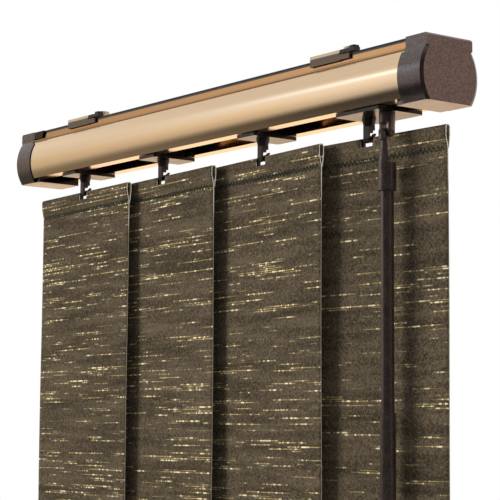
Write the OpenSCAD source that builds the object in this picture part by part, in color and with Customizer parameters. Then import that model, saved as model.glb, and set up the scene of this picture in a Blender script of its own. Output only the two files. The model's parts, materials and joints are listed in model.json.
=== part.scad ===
// Wand-operated vertical blind: barrel headrail with end caps, two ceiling clips,
// worm-driven carriers on a tilt rod, fabric vanes and a wand on a universal joint.
// Millimetres. X runs along the rail, Y to the back, Z up. The origin is in the
// ceiling plane, midway between the two clips' screws.

/* [Headrail] */
// Greatest width of the barrel, front to back
barrel_w = 43.2; // [40:0.1:48]
// Width of the flat ridge on top
ridge_w = 33.5; // [31:0.1:36]
// Height of the ridge above the barrel
ridge_h = 6.5; // [6:0.1:8]
// Height of the rail from its lips to the top of the ridge
rail_h = 34.2; // [33:0.1:38]
// Wall of the extrusion
rail_wall = 1.4; // [1:0.1:1.8]
// Width of the slot along the underside
slot_w = 20; // [19:0.5:23]
// Distance from the rail's left end to the first stem
first_inset = 49; // [30:1:80]
// Distance from the lead stem to the rail's right end
lead_inset = 52; // [44:1:80]

/* [End caps] */
// Length of a cap along the rail
cap_l = 17.6; // [12:0.1:24]
// Depth of the caps' flat foot below the rail's lips
cap_drop = 3; // [2.6:0.1:5]
// How far a cap stands proud of the rail's outline
cap_proud = 0.6; // [0.3:0.1:1.2]
// Reach of the cap's foot under the rail
cap_foot = 8; // [4:0.5:14]
// Wall of a cap
cap_wall = 2.2; // [1.6:0.1:3]
// How far a cap's band laps over the rail
cap_lap = 2; // [1:0.1:4]
// Length of the bevel round a cap's end face
cap_bevel = 1.2; // [0.6:0.1:3]
// Length of the left cap's locking tongue along the ridge
cap_tongue = 15; // [8:0.5:24]

/* [Ceiling clips] */
// Distance between the two screws
clip_pitch = 274; // [200:1:330]
// Length of a clip along the rail
clip_l = 27; // [22:0.5:36]
// Distance from the ceiling down to the rail
clip_stand = 8.3; // [7.5:0.1:12]
// Thickness of the clip's steel
clip_t = 1; // [0.8:0.1:1.4]
// Screw hole
screw_d = 4.5; // [3.5:0.1:5]

/* [Vanes] */
// Distances between neighbouring stems, from the left
vane_gaps = [99, 110, 96];
// Width of a vane
vane_w = 127; // [115:1:127]
// Length of a vane from fold to fold
vane_drop = 450; // [200:10:1200]
// Thickness of the fabric
fabric_t = 0.6; // [0.4:0.1:0.8]
// Height of the sewn top pocket
pocket_h = 13.5; // [13:0.5:20]
// Thickness of the pockets
pocket_t = 3.6; // [3.2:0.1:3.8]
// Height of the bottom hem
hem_h = 32; // [20:1:50]
// Gap between the carriers' plates and the vanes' top fold
vane_gap = 11.1; // [10:0.1:14]
// Turns of the following vanes out of the rail's line, closed
vane_turns = [-3.5, -3.5, -4.4];
// Turn of the lead vane, closed
lead_turn = 2.4; // [-3:0.1:2.6]
// Thickness of the stiff inserts in the pockets
hanger_t = 1.2; // [1:0.1:1.4]
// Width of the notch for the hook
notch_w = 10.5; // [8:0.5:16]

/* [Carriers and drive] */
// Length of a carrier along the rail
carrier_l = 20; // [19:0.5:24]
// Width of a carrier's lower plate
plate_w = 34; // [30:0.5:36]
// Thickness of the lower plate
plate_t = 2.2; // [1.6:0.1:3]
// Distance of the stems in front of the rail's centre line
stem_set = 3; // [2.5:0.1:3.5]
// Across the corners of the hexagonal tilt rod
rod_d = 4; // [3.6:0.1:4.2]
// Teeth of a stem's wheel
wheel_teeth = 13; // [12:1:14]
// Pitch radius of a stem's wheel
wheel_r = 6.6; // [6.5:0.05:6.8]
// Pitch radius of a worm
worm_r = 4.6; // [4.5:0.05:4.8]
// Pitch radius of the lead stem's wheel
lead_wheel_r = 3.6; // [3.5:0.05:3.7]
// Pitch radius of the lead worm
lead_worm_r = 3.4; // [3.35:0.05:3.5]
// Diameter of the stems' shafts
stem_d = 5; // [4:0.1:5.2]
// Diameter of the stems' collars
collar_d = 8.6; // [7:0.1:9]
// Width of a hook's shank, along the vane
blade_w = 4.4; // [3:0.1:6]

/* [Wand] */
// Distance from the lead stem to the wand, along the rail
wand_reach = 24; // [23:0.5:26]
// Teeth of each gear between wand and rod
gear_teeth = 12; // [11:1:13]
// Pitch radius of these gears
gear_r = 7.2; // [7:0.05:7.4]
// Length of the wand below its joint
wand_l = 330; // [200:10:900]
// Diameter of the wand's rod
wand_d = 7.6; // [6:0.1:8.4]
// Diameter of the wand's socket
socket_d = 10.5; // [10:0.1:13]
// Length of the socket's sleeve
sleeve_l = 28; // [20:0.5:40]
// Diameter of the upper yoke
yoke_d = 9.5; // [9:0.1:11]
// Length of the grip
grip_l = 170; // [80:5:180]
// Diameter of the grip
grip_d = 9; // [8.4:0.1:11]

/* [Hidden] */
$fn = 64;

// Clearances: between moving faces, round a shaft, round gears, and in a push fit
gap = 0.3;
run = 0.05;
room = 0.5;
slack = 0.2;
// How far solids of one piece reach into each other
bite = 0.1;

// Colours
champagne = "#c8a878";
bronze = "#8d7558";
dark_plastic = "#3b322d";
cloth = "#4f4933";
steel = "#b9b9b4";

// Heights, from the ceiling down
rail_top = -clip_stand;
ridge_foot = rail_top - ridge_h;
lips_z = rail_top - rail_h;
cap_bottom = lips_z - cap_drop;
barrel_mid = (ridge_foot + cap_bottom) / 2;
lips_top = lips_z + rail_wall;
web_z = ridge_foot - rail_wall;
plate_top = lips_z - gap;
plate_bottom = plate_top - plate_t;
base_bottom = lips_top + gap;
base_t = 2.1;
base_top = base_bottom + base_t;
vane_top = plate_bottom - vane_gap;
vane_bottom = vane_top - vane_drop;

// Lengths along the rail
rail_l = first_inset + vane_gaps[0] + vane_gaps[1] + vane_gaps[2] + lead_inset;
stem_x = [
  -rail_l / 2 + first_inset,
  -rail_l / 2 + first_inset + vane_gaps[0],
  -rail_l / 2 + first_inset + vane_gaps[0] + vane_gaps[1],
  rail_l / 2 - lead_inset];
lead = 3;

// The barrel's side is one arc through the ridge's foot, the greatest width and the caps' foot
barrel_half_h = (ridge_foot - cap_bottom) / 2;
barrel_bulge = (barrel_w - ridge_w) / 2;
barrel_r = (pow(barrel_half_h, 2) + pow(barrel_bulge, 2)) / (2 * barrel_bulge);
bead_r = 0.8;
lip_bead_r = 0.5;

// Tilt rod: behind the stems, at the barrel's middle height
rod_y = -stem_set + wheel_r + worm_r;
rod_z = barrel_mid;
rod_r = rod_d / 2;
journal_r = 1.6;
journal_l = 3;
cap_plug = 6;
cap_plug_r = 9.5;
cap_boss_r = 5;
tongue_t = 0.9;
tongue_slant = 2;
// How far the bevel draws the end face in at the sides
bevel_in = 2;
lead_y = rod_y - lead_wheel_r - lead_worm_r;
function stem_y(i) = i == lead ? lead_y : -stem_set;
function turn_of(i) = i == lead ? lead_turn : vane_turns[i];

// Worm threads and wheels, as [thread half-height, wheel thickness, thread length]
thread = [0.9, 3, 9.6];
lead_thread = [0.5, 2, 7];
worm_hub = 2.2;
worm_half = thread[2] / 2 + worm_hub;
lead_worm_half = lead_thread[2] / 2 + worm_hub;
bay_wall = 1.7;
// How far the wheels' tips pass their pitch circle
wheel_add = 0.2;
lead_wheel_add = 0.1;

// Carrier housings: front and back faces and top
front_wall = 1.4;
back_wall = 0.8;
housing_front = -stem_set - wheel_r - front_wall;
housing_back = rod_y + worm_r + thread[0] + back_wall;
worm_bay_r = worm_r + thread[0] + room;
housing_top = rod_z + worm_bay_r + bay_wall;
// Play under the worms' crests, and a tooth's width at its root and its tip
root_play = 0.35;
lead_root_play = 0.25;
wheel_tooth = [1.35, 0.75];
lead_tooth = [0.75, 0.36];
shoe_reach = 3;
neck_play = 0.5;
shoe_inset = 1;
plate_corner = 2;

// Spacer links lie in lanes on top of the housings
lane_pitch = 4;
lane_w = 3.2;
lane_depth = 1.2;
link_w = 2.6;
link_t = 0.6;
link_z = housing_top - lane_depth + gap;
link_head = [2, 4.4];
first_lane = -6;
function lane_y(i) = first_lane + i * lane_pitch;

// Wand drive in the lead carrier
wand_x = stem_x[lead] + wand_reach;
wand_y = rod_y - 2 * gear_r;
gear_add = 0.85;
gear_ded = 1.15;
gear_h = 7;
gear_bay = gear_r + gear_add + room;
// The lead carrier's plate ends just past the wand's yoke
plate_over = 1.2;
plate_end = yoke_d / 2 + plate_over;

// Hook: a J in the plane across the vane, round the hanger's bar
bar_h = 1.2;
bar_inset = 0.2;
hook_play = 0.6;
hook_in = hanger_t / 2 + hook_play;
hook_t = 1.5;
hook_out = hook_in + hook_t;
// The bar stands in the notch, just below the fold's height
bar_top = vane_top - bar_inset;
bar_bottom = bar_top - bar_h;
// Its lower corners rest in the round of the hook
hook_z = bar_bottom + sqrt(pow(hook_in - run, 2) - pow(hanger_t / 2, 2));
hook_tip = 1.6;
shank_root = 1;
gate_l = 2.2;
spur_w = 2.2;
// Outline of the spur behind the hook
spur = [[-0.4, -0.6], [2.2, 2.8], [1.4, 3.4], [-0.4, 1.6]];
collar_h = 4.5;
collar_taper = 2;
hub_d = 6.5;
step_h = 3;
hanger_half = 18;
window_play = 1.2;
window_drop = 2.4;
window_z = hook_z - hook_out - window_drop;
notch_depth = vane_top - window_z;
seam_taper = 7;
// Where the drawn-in pocket is just wide enough for the insert
hanger_foot = seam_taper * (hanger_t + 2 * slack + fabric_t) / (pocket_t - fabric_t);
// The inserts' edges stop short of the folds' inner round
fold_stop = pocket_t / 2 - gap;
weight_t = pocket_t - 2 * fabric_t - 2 * slack;
weight_inset = 6;

// Universal joint
pivot_drop = 12;
pivot_z = plate_bottom - pivot_drop;
fork_slot = 5.6;
ear_r = 2.4;
socket_ear_r = 2.2;
pin_r = 1;
cross_s = 4.8;
fork_depth = 5.6;
// The socket's one arm: how far it reaches below the pivot, and how much it narrows
arm_l = 17.6;
arm_taper = 3;
sleeve_top = pivot_z - fork_depth;
sleeve_bottom = sleeve_top - sleeve_l;
rod_seat = 14;
wand_end = pivot_z - wand_l;
grip_end = 4;
pin_short = 0.4;

// Ceiling clips
clip_rise = 2.7;
clip_top = rail_top + clip_rise;
clip_under = clip_top - clip_t;
clip_grip = ridge_w / 2 + lip_bead_r + run;
clip_lip = 3.6;
// The plate reaches farther to the left of its screw
clip_shift = -3.5;
clip_x0 = clip_shift - clip_l / 2;
clip_x1 = clip_shift + clip_l / 2;
clip_foot = 3;
// Narrower end of the front lip, below the lever
lip_end = [8.5, 3.4];
claw_inset = 2;
claw_drop = 2.4;
claw_z = rail_top - claw_drop;
claw_t = 1;
boss_r = 5;
post_r = 4;
flange_t = 1.4;
flange_over = 0.8;
flange_r = boss_r + flange_over;
lever_z = rail_top + gap;
lever_t = clip_under - gap - lever_z;
lever_reach = 20;
lever_turn = -44;
lever_w = 4;
cam_reach = 11;
cam_r = 2.6;
// Wing at the lever's end, along the rail: its start, length, width and height
wing_x = clip_x1 + 2 * room;
wing_l = 12.5;
wing_w = 4.4;
wing_h = 2.2;
wing_front = clip_grip + clip_t + gap;
// Grip on the wing
thumb_l = 5;
thumb_h = 1.2;

// Placing

module along_x(x0, x1) { translate([x0, 0, 0]) rotate([90, 0, 90]) linear_extrude(x1 - x0) children(); }

module at_stem(i) { translate([stem_x[i], stem_y(i), 0]) children(); }

module at_vane(i) { at_stem(i) rotate([0, 0, turn_of(i)]) children(); }

// Block between two corners
module block(low, high) { translate(low) cube(high - low); }

// Plate with round corners
module round_plate(low, high, r) {
  translate([0, 0, low[2]]) linear_extrude(high[2] - low[2]) union() {
    translate([low[0] + r, low[1]]) square([high[0] - low[0] - 2 * r, high[1] - low[1]]);
    translate([low[0], low[1] + r]) square([high[0] - low[0], high[1] - low[1] - 2 * r]);
    for (x = [low[0] + r, high[0] - r], y = [low[1] + r, high[1] - r]) translate([x, y]) circle(r);
  }
}

// Sections

// Barrel between two heights, its sides grown or shrunk by grow; each half has its own arc
module barrel_2d(z0, z1, grow = 0) {
  for (side = [-1, 1]) intersection() {
    translate([side * (barrel_w / 2 - barrel_r), barrel_mid]) circle(barrel_r + grow, $fn = 128);
    translate([side > 0 ? -bite : bite - barrel_w, z0]) square([barrel_w, z1 - z0]);
  }
}

module ridge_2d(grow = 0) {
  translate([-ridge_w / 2 - grow, ridge_foot - 1]) square([ridge_w + 2 * grow, ridge_h + 1 + grow]);
}

module rail_2d() {
  difference() {
    union() {
      barrel_2d(lips_z, ridge_foot);
      ridge_2d();
      for (side = [-1, 1]) {
        translate([side * ridge_w / 2, ridge_foot + bead_r / 2]) circle(bead_r);
        translate([side * ridge_w / 2, rail_top - lip_bead_r]) circle(lip_bead_r);
      }
    }
    barrel_2d(lips_top, web_z, -rail_wall);
    translate([-ridge_w / 2 + rail_wall, ridge_foot]) square([ridge_w - 2 * rail_wall, ridge_h + 1]);
    translate([-slot_w / 2, lips_z - 1]) square([slot_w, rail_wall + 2]);
  }
}

module cap_2d(grow = 0) {
  barrel_2d(cap_bottom - min(grow, 0), ridge_foot + 1, cap_proud + grow);
  ridge_2d(cap_proud + grow);
}

// Headrail and its ends

module headrail() { color(champagne) along_x(-rail_l / 2, rail_l / 2) rail_2d(); }

// Cap for the right end; the left one is its mirror image
module end_cap() {
  x0 = rail_l / 2;
  x1 = x0 + cap_l;
  difference() {
    union() {
      along_x(x0, x1) cap_2d();
      // Thin band that laps over the barrel
      along_x(x0 - cap_lap, x0 + 1) difference() {
        barrel_2d(cap_bottom, ridge_foot - 2 * bead_r, cap_proud);
        barrel_2d(cap_bottom - 1, ridge_foot, run);
      }
      block([x0 - cap_foot, -ridge_w / 2, cap_bottom], [x0 + 1, ridge_w / 2, lips_z]);
      // Plug inside the rail, with the tilt rod's bearing
      along_x(x0 - cap_plug, x0 + 1) intersection() {
        barrel_2d(lips_top + gap, web_z - gap, -rail_wall - gap);
        translate([rod_y, rod_z]) circle(cap_plug_r);
      }
    }
    along_x(x0 - 1, x1 - cap_wall) difference() {
      cap_2d(-cap_wall);
      translate([rod_y, rod_z]) circle(cap_boss_r);
      translate([-barrel_w, cap_bottom]) square([2 * barrel_w, cap_drop + cap_wall]);
      translate([-barrel_w, ridge_foot - cap_wall]) square([2 * barrel_w, ridge_h]);
    }
    translate([x0 - cap_plug - 1, rod_y, rod_z]) rotate([0, 90, 0])
      cylinder(r = journal_r + run, h = cap_plug + journal_l + gap + 1);
    bevel_cut(x1);
  }
}

// Edge taken off a cap's end face: what lies outside a cone on each arc, and a slope along the top
module bevel_cut(x) {
  slope = bevel_in / cap_bevel;
  top = rail_top + cap_proud;
  end_r = barrel_r + cap_proud;
  for (side = [-1, 1]) difference() {
    block([x - cap_bevel - 1, side > 0 ? 0 : -barrel_w, cap_bottom - 1],
      [x + 1, side > 0 ? barrel_w : 0, ridge_foot]);
    translate([x - cap_bevel - 1, side * (barrel_w / 2 - barrel_r), barrel_mid]) rotate([0, 90, 0])
      cylinder(r1 = end_r + slope, r2 = end_r - bevel_in - slope, h = cap_bevel + 2, $fn = 128);
  }
  translate([x, barrel_w, top]) rotate([90, 0, 0]) linear_extrude(2 * barrel_w)
    polygon([[-cap_bevel, 0], [1, -1 - cap_bevel], [1, 1], [-cap_bevel, 1]]);
}

module end_cap_right() { color(dark_plastic) end_cap(); }

module end_cap_left() {
  color(dark_plastic) union() {
    mirror([1, 0, 0]) end_cap();
    // Tongue with a slanted end
    translate([-rail_l / 2, -clip_grip, 0]) rotate([90, 0, 0]) linear_extrude(tongue_t) polygon([
      [-1, ridge_foot + 2 * bead_r], [cap_tongue - tongue_slant, ridge_foot + 2 * bead_r],
      [cap_tongue, rail_top], [-1, rail_top]]);
  }
}

module tilt_rod() {
  hex_l = rail_l - 2 * (cap_plug + gap);
  color(steel) translate([0, rod_y, rod_z]) rotate([0, 90, 0]) union() {
    cylinder(r = rod_r, h = hex_l, center = true, $fn = 6);
    cylinder(r = journal_r, h = rail_l + 2 * journal_l, center = true);
  }
}

// Ceiling clips

module mounting_clip(x) {
  color(bronze) translate([x, 0, 0]) difference() {
    union() {
      round_plate([clip_x0, -clip_grip - clip_t, clip_under], [clip_x1, clip_grip + clip_t, clip_top], 1);
      for (side = [-1, 1]) {
        // Lip outside the ridge, hooked in under its bead
        y0 = side * clip_grip;
        y1 = side * (clip_grip + clip_t);
        block([clip_x0, min(y0, y1), rail_top - clip_lip], [clip_x1, max(y0, y1), clip_top]);
        claw = side * (ridge_w / 2 + run);
        block([clip_x0 + claw_inset, min(claw, y1), claw_z],
          [clip_x1 - claw_inset, max(claw, y1), claw_z + claw_t]);
        // Foot on the ridge's wall
        y2 = side * (ridge_w / 2 - rail_wall);
        y3 = side * ridge_w / 2;
        block([clip_x0, min(y2, y3), rail_top], [clip_x0 + clip_foot, max(y2, y3), clip_under + bite]);
      }
      block([clip_x1 - bite, -clip_grip - clip_t, rail_top - lip_end[1]],
        [clip_x1 + lip_end[0], -clip_grip, rail_top - gap]);
      translate([0, 0, clip_under]) cylinder(r = boss_r, h = -clip_under);
      translate([0, 0, rail_top - flange_t]) cylinder(r = flange_r, h = flange_t);
      translate([0, 0, rail_top - flange_t])
        cylinder(r = post_r, h = clip_under - rail_top + flange_t + bite);
    }
    translate([0, 0, rail_top - flange_t - 1]) cylinder(d = screw_d, h = clip_stand + flange_t + 2);
  }
}

module clip_lever(x) {
  wing_end = wing_x + wing_l;
  color(dark_plastic) translate([x, 0, lever_z]) difference() {
    union() {
      cylinder(r = boss_r + 2, h = lever_t);
      rotate([0, 0, lever_turn]) union() {
        block([0, -lever_w / 2, 0], [lever_reach, lever_w / 2, lever_t]);
        // Cam behind the post
        block([-cam_reach, -cam_r, 0], [0, cam_r, lever_t]);
        translate([-cam_reach, 0, 0]) cylinder(r = cam_r, h = lever_t);
      }
      block([wing_x, -wing_front, 0], [wing_end, wing_w - wing_front, wing_h]);
      round_plate([wing_end - thumb_l, -wing_front, wing_h - bite],
        [wing_end, wing_w - wing_front, wing_h + thumb_h], 1);
    }
    translate([0, 0, -1]) cylinder(r = post_r + run, h = lever_t + 2);
  }
}

module mounting_clip_left() { mounting_clip(-clip_pitch / 2); }
module mounting_clip_right() { mounting_clip(clip_pitch / 2); }
module clip_lever_left() { clip_lever(-clip_pitch / 2); }
module clip_lever_right() { clip_lever(clip_pitch / 2); }

// Gears

// Single-start worm along X, with a crest towards the wheel at x = 0
module worm_thread(r, teeth, wheel_pitch_r, size) {
  pitch = 2 * PI * wheel_pitch_r / teeth;
  turns = size[2] / pitch;
  rotate([0, 90, 0]) translate([0, 0, -size[2] / 2]) rotate([0, 0, -90 - 180 * turns])
    linear_extrude(size[2], twist = -360 * turns, slices = round(14 * turns), $fn = 16)
      translate([size[0], 0]) circle(r);
}

// Straight-toothed wheel with a gap towards +Y
module wheel_2d(teeth, root_r, tip_r, root_w, tip_w) {
  circle(root_r + bite);
  for (k = [0:teeth - 1]) rotate([0, 0, 90 + (k + 0.5) * 360 / teeth])
    polygon([[0, -root_w / 2], [root_r, -root_w / 2], [tip_r, -tip_w / 2],
      [tip_r, tip_w / 2], [root_r, root_w / 2], [0, root_w / 2]]);
}

// Spiral gear with its teeth at 45 degrees; phase turns a tooth or a gap to +Y at mid height
module spiral_gear(phase) {
  turns = gear_h / (2 * PI * gear_r);
  tooth = PI * gear_r / gear_teeth;
  // A tooth's four corners, as [share of the tooth's width, height over the pitch circle]
  corners = [[-0.62, -gear_ded], [-0.26, gear_add], [0.26, gear_add], [0.62, -gear_ded]];
  points = [for (k = [0:gear_teeth - 1], p = corners)
    let (r = gear_r + p[1], a = 90 + 360 * k / gear_teeth + p[0] * tooth / r * 180 / PI)
      [r * cos(a), r * sin(a)]];
  translate([0, 0, -gear_h / 2]) rotate([0, 0, phase - 180 * turns])
    linear_extrude(gear_h, twist = -360 * turns, slices = 7) polygon(points);
}

module hex_bore(h) { rotate([0, 90, 0]) translate([0, 0, -h / 2]) cylinder(r = rod_r + gap, h = h, $fn = 6); }

module worm(i) {
  color(dark_plastic) translate([stem_x[i], rod_y, rod_z]) difference() {
    union() {
      worm_thread(worm_r, wheel_teeth, wheel_r, thread);
      rotate([0, 90, 0]) cylinder(r = worm_r - thread[0] - bite, h = 2 * worm_half, center = true);
    }
    hex_bore(3 * worm_half);
  }
}

module worm_1() { worm(0); }
module worm_2() { worm(1); }
module worm_3() { worm(2); }

// The lead worm carries the gear that the wand turns
module lead_worm() {
  sleeve_end = wand_reach + gear_bay - gap;
  color(dark_plastic) translate([stem_x[lead], rod_y, rod_z]) difference() {
    union() {
      worm_thread(lead_worm_r, wheel_teeth, lead_wheel_r, lead_thread);
      rotate([0, 90, 0]) translate([0, 0, -lead_worm_half])
        cylinder(r = lead_worm_r - lead_thread[0] - bite, h = lead_worm_half + sleeve_end);
      translate([wand_reach, 0, 0]) rotate([0, 90, 0]) spiral_gear(180);
    }
    translate([wand_reach / 2, 0, 0]) hex_bore(3 * wand_reach);
  }
}

// Carriers

// Shared by every carrier: lower plate, neck through the slot, shoes on the lips
module carrier_base(x0, x1, plate_x1) {
  neck = slot_w / 2 - neck_play;
  shoe = slot_w / 2 + shoe_reach;
  round_plate([x0, -plate_w / 2, plate_bottom], [plate_x1, plate_w / 2, plate_top], plate_corner);
  block([x0 + shoe_inset, -neck, plate_top - bite], [plate_x1 - shoe_inset, neck, base_bottom + bite]);
  block([x0 + shoe_inset, -shoe, base_bottom], [x1 - shoe_inset, shoe, base_top]);
}

// Worm and wheel box over a stem, with open front and back
module worm_box(y, wheel_tip, bay_r, half, lane) {
  end = half + gap;
  wheel_room = thread[1] / 2 + room;
  mouth = wheel_tip + room;
  difference() {
    block([-end - bay_wall, housing_front, base_top - bite], [end + bay_wall, housing_back, housing_top]);
    translate([0, y, rod_z - wheel_room]) cylinder(r = mouth, h = 2 * wheel_room);
    block([-mouth, housing_front - 1, rod_z - wheel_room], [mouth, y, rod_z + wheel_room]);
    translate([0, y, base_top]) cylinder(d = hub_d + 4 * room, h = rod_z - base_top);
    translate([-end, rod_y, rod_z]) rotate([0, 90, 0]) cylinder(r = bay_r, h = 2 * end);
    block([-end, rod_y, rod_z - bay_r], [end, housing_back + 1, rod_z + bay_r]);
    translate([-2 * end, rod_y, rod_z]) rotate([0, 90, 0]) cylinder(r = rod_r + 2 * room, h = 4 * end);
    for (k = [0:2]) translate([-2 * end, lane_y(k) - lane_w / 2, housing_top - lane_depth])
      cube([4 * end, lane_w, lane_depth + 1]);
  }
  // Seat of the link that this carrier pulls
  if (lane >= 0) translate([-end, lane_y(lane) - link_w / 2, housing_top - lane_depth - bite])
    cube([end, link_w, gap + bite]);
}

module stem_bore(x, y) {
  translate([x, y, plate_bottom - 1]) cylinder(r = stem_d / 2 + run, h = base_top - plate_bottom + 2);
}

module carrier(i) {
  color(dark_plastic) translate([stem_x[i], 0, 0]) difference() {
    union() {
      carrier_base(-carrier_l / 2, carrier_l / 2, carrier_l / 2);
      worm_box(-stem_set, wheel_r + wheel_add, worm_bay_r, worm_half, i);
    }
    stem_bore(0, -stem_set);
  }
}

module carrier_1() { carrier(0); }
module carrier_2() { carrier(1); }
module carrier_3() { carrier(2); }

module lead_carrier() {
  bay0 = wand_reach - gear_bay;
  bay1 = wand_reach + gear_bay;
  bay_top = rod_z + gear_bay;
  shoe = slot_w / 2 + shoe_reach;
  worm_tip = lead_worm_r + lead_thread[0];
  color(dark_plastic) translate([stem_x[lead], 0, 0]) difference() {
    union() {
      carrier_base(-carrier_l / 2, bay1 + bay_wall + shoe_inset, wand_reach + plate_end);
      worm_box(lead_y, lead_wheel_r + lead_wheel_add, worm_tip + room, lead_worm_half, -1);
      // Gear bay, open to the front and the back
      difference() {
        block([bay0 - bay_wall, -shoe, base_top - bite], [bay1 + bay_wall, shoe, bay_top + bay_wall]);
        block([bay0, -shoe - 1, base_top], [bay1, shoe + 1, bay_top]);
      }
    }
    translate([bay0 - 2 * bay_wall, rod_y, rod_z]) rotate([0, 90, 0])
      cylinder(r = lead_worm_r - lead_thread[0] + slack, h = bay1 - bay0 + 4 * bay_wall);
    stem_bore(0, lead_y);
    stem_bore(wand_reach, wand_y);
  }
}

module spacer_link(i) {
  x0 = stem_x[i] - worm_half;
  head = stem_x[i + 1] + (i + 1 == lead ? lead_worm_half : worm_half) + gap + bay_wall + gap;
  x1 = head + link_head[0];
  color(steel) translate([0, lane_y(i), link_z]) union() {
    block([x0, -link_w / 2, 0], [x1, link_w / 2, link_t]);
    block([head, -link_head[1] / 2, 0], [x1, link_head[1] / 2, link_t]);
  }
}

module spacer_link_1() { spacer_link(0); }
module spacer_link_2() { spacer_link(1); }
module spacer_link_3() { spacer_link(2); }

// Stems: wheel, shaft, collar, blade and hook in one piece

module hook() {
  collar_z = plate_bottom - collar_h;
  shank_z = hook_z + hook_tip + hanger_t + gap;
  along_x(-blade_w / 2, blade_w / 2) union() {
    translate([0, hook_z]) difference() {
      circle(hook_out);
      circle(hook_in);
      translate([-hook_out - 1, 0]) square(2 * hook_out + 2);
    }
    translate([-hook_out, hook_z - bite]) square([hook_t, shank_z - hook_z + 2 * bite]);
    translate([hook_in, hook_z - bite]) square([hook_t, hook_tip + bite]);
    // Shank, and the gate behind it that closes the way to the tip
    translate([-hook_out, shank_z]) square([hook_out + hook_in, collar_z + shank_root - shank_z]);
    translate([0, collar_z - gate_l]) square([hook_out, gate_l + shank_root]);
  }
  // Spur that keeps the vane on when it is pushed back
  translate([0, hook_out, hook_z]) along_x(-spur_w / 2, spur_w / 2) polygon(spur);
}

module stem(i) {
  is_lead = i == lead;
  size = is_lead ? lead_thread : thread;
  tip = is_lead ? lead_wheel_r + lead_wheel_add : wheel_r + wheel_add;
  root = is_lead ? lead_wheel_r - lead_thread[0] - lead_root_play : wheel_r - thread[0] - root_play;
  widths = is_lead ? lead_tooth : wheel_tooth;
  collar_top = plate_bottom - gap;
  color(dark_plastic) at_stem(i) union() {
    translate([0, 0, rod_z - size[1] / 2]) linear_extrude(size[1])
      wheel_2d(wheel_teeth, root, tip, widths[0], widths[1]);
    translate([0, 0, collar_top - bite]) cylinder(d = stem_d, h = rod_z - collar_top);
    translate([0, 0, base_top + gap]) cylinder(d = hub_d, h = step_h);
    translate([0, 0, plate_bottom - collar_h])
      cylinder(d1 = collar_d - collar_taper, d2 = collar_d, h = collar_h - gap);
    rotate([0, 0, turn_of(i)]) hook();
  }
}

module stem_1() { stem(0); }
module stem_2() { stem(1); }
module stem_3() { stem(2); }
module stem_4() { stem(3); }

// Vanes

// Stiff insert in the pocket, with the bar that the hook holds
module hanger(i) {
  wing_top = vane_top - fold_stop;
  wing_bottom = vane_top - pocket_h + hanger_foot;
  half_notch = notch_w / 2;
  frame = half_notch - gap;
  window_w = blade_w + 2 * window_play;
  color(dark_plastic) at_vane(i) rotate([90, 0, 0]) linear_extrude(hanger_t, center = true) difference() {
    union() {
      translate([-hanger_half, wing_bottom]) square([2 * hanger_half, wing_top - wing_bottom]);
      translate([-frame, wing_bottom]) square([2 * frame, bar_top - wing_bottom]);
    }
    translate([-window_w / 2, window_z]) square([window_w, bar_bottom - window_z]);
  }
}

// Pocket section: round fold at the top, drawn in to the seam below
module pocket_2d(top, h, grow) {
  r = pocket_t / 2 + grow;
  fold = top - pocket_t / 2;
  shoulder = top - h + seam_taper;
  // Half-width at the seam; below 0 the walls have met higher up
  foot = fabric_t / 2 + grow;
  seam = shoulder - seam_taper * (r - max(foot, 0)) / (r - foot);
  half = max(foot, run);
  translate([0, fold]) circle(r);
  polygon([[-r, fold], [-r, shoulder], [-half, seam], [half, seam], [r, shoulder], [r, fold]]);
}

// Section of a vane between its two folds: pocket, single cloth and hem
module vane_2d(grow) {
  pocket_2d(vane_top, pocket_h, grow);
  translate([0, vane_bottom]) mirror([0, 1]) pocket_2d(0, hem_h, grow);
}

module vane(i) {
  color(cloth) at_vane(i) difference() {
    along_x(-vane_w / 2, vane_w / 2) difference() {
      union() {
        vane_2d(0);
        translate([-fabric_t / 2, vane_bottom + hem_h - 1])
          square([fabric_t, vane_drop - pocket_h - hem_h + 2]);
      }
      vane_2d(-fabric_t);
    }
    block([-notch_w / 2, -pocket_t, vane_top - notch_depth], [notch_w / 2, pocket_t, vane_top + 1]);
  }
}

// Flat weight in the bottom hem
module vane_weight(i) {
  half_l = vane_w / 2 - weight_inset;
  color(steel) at_vane(i) block([-half_l, -weight_t / 2, vane_bottom + fold_stop],
    [half_l, weight_t / 2, vane_bottom + hem_h - seam_taper - 1]);
}

module hanger_1() { hanger(0); }
module hanger_2() { hanger(1); }
module hanger_3() { hanger(2); }
module hanger_4() { hanger(3); }
module vane_1() { vane(0); }
module vane_2() { vane(1); }
module vane_3() { vane(2); }
module vane_4() { vane(3); }
module vane_weight_1() { vane_weight(0); }
module vane_weight_2() { vane_weight(1); }
module vane_weight_3() { vane_weight(2); }
module vane_weight_4() { vane_weight(3); }

// Wand

module at_wand() { translate([wand_x, wand_y, 0]) children(); }

// Gear, shaft and upper yoke in one piece
module wand_stub() {
  yoke_z = pivot_z + fork_depth;
  collar_top = plate_bottom - gap;
  color(dark_plastic) at_wand() difference() {
    union() {
      translate([0, 0, rod_z]) spiral_gear(180 / gear_teeth);
      translate([0, 0, collar_top - bite]) cylinder(d = stem_d, h = rod_z - collar_top);
      translate([0, 0, base_top + gap]) cylinder(d = hub_d, h = step_h);
      translate([0, 0, yoke_z]) cylinder(d = yoke_d, h = collar_top - yoke_z);
      // Two ears, round at the pin
      intersection() {
        translate([0, 0, pivot_z - ear_r]) cylinder(d = yoke_d, h = fork_depth + ear_r + bite);
        along_x(-yoke_d, yoke_d) union() {
          translate([0, pivot_z]) circle(ear_r);
          translate([-ear_r, pivot_z]) square([2 * ear_r, fork_depth + 1]);
        }
      }
    }
    block([-fork_slot / 2, -yoke_d, pivot_z - 2 * ear_r], [fork_slot / 2, yoke_d, yoke_z]);
    translate([-yoke_d, 0, pivot_z]) rotate([0, 90, 0]) cylinder(r = pin_r + run, h = 2 * yoke_d);
  }
}

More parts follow.
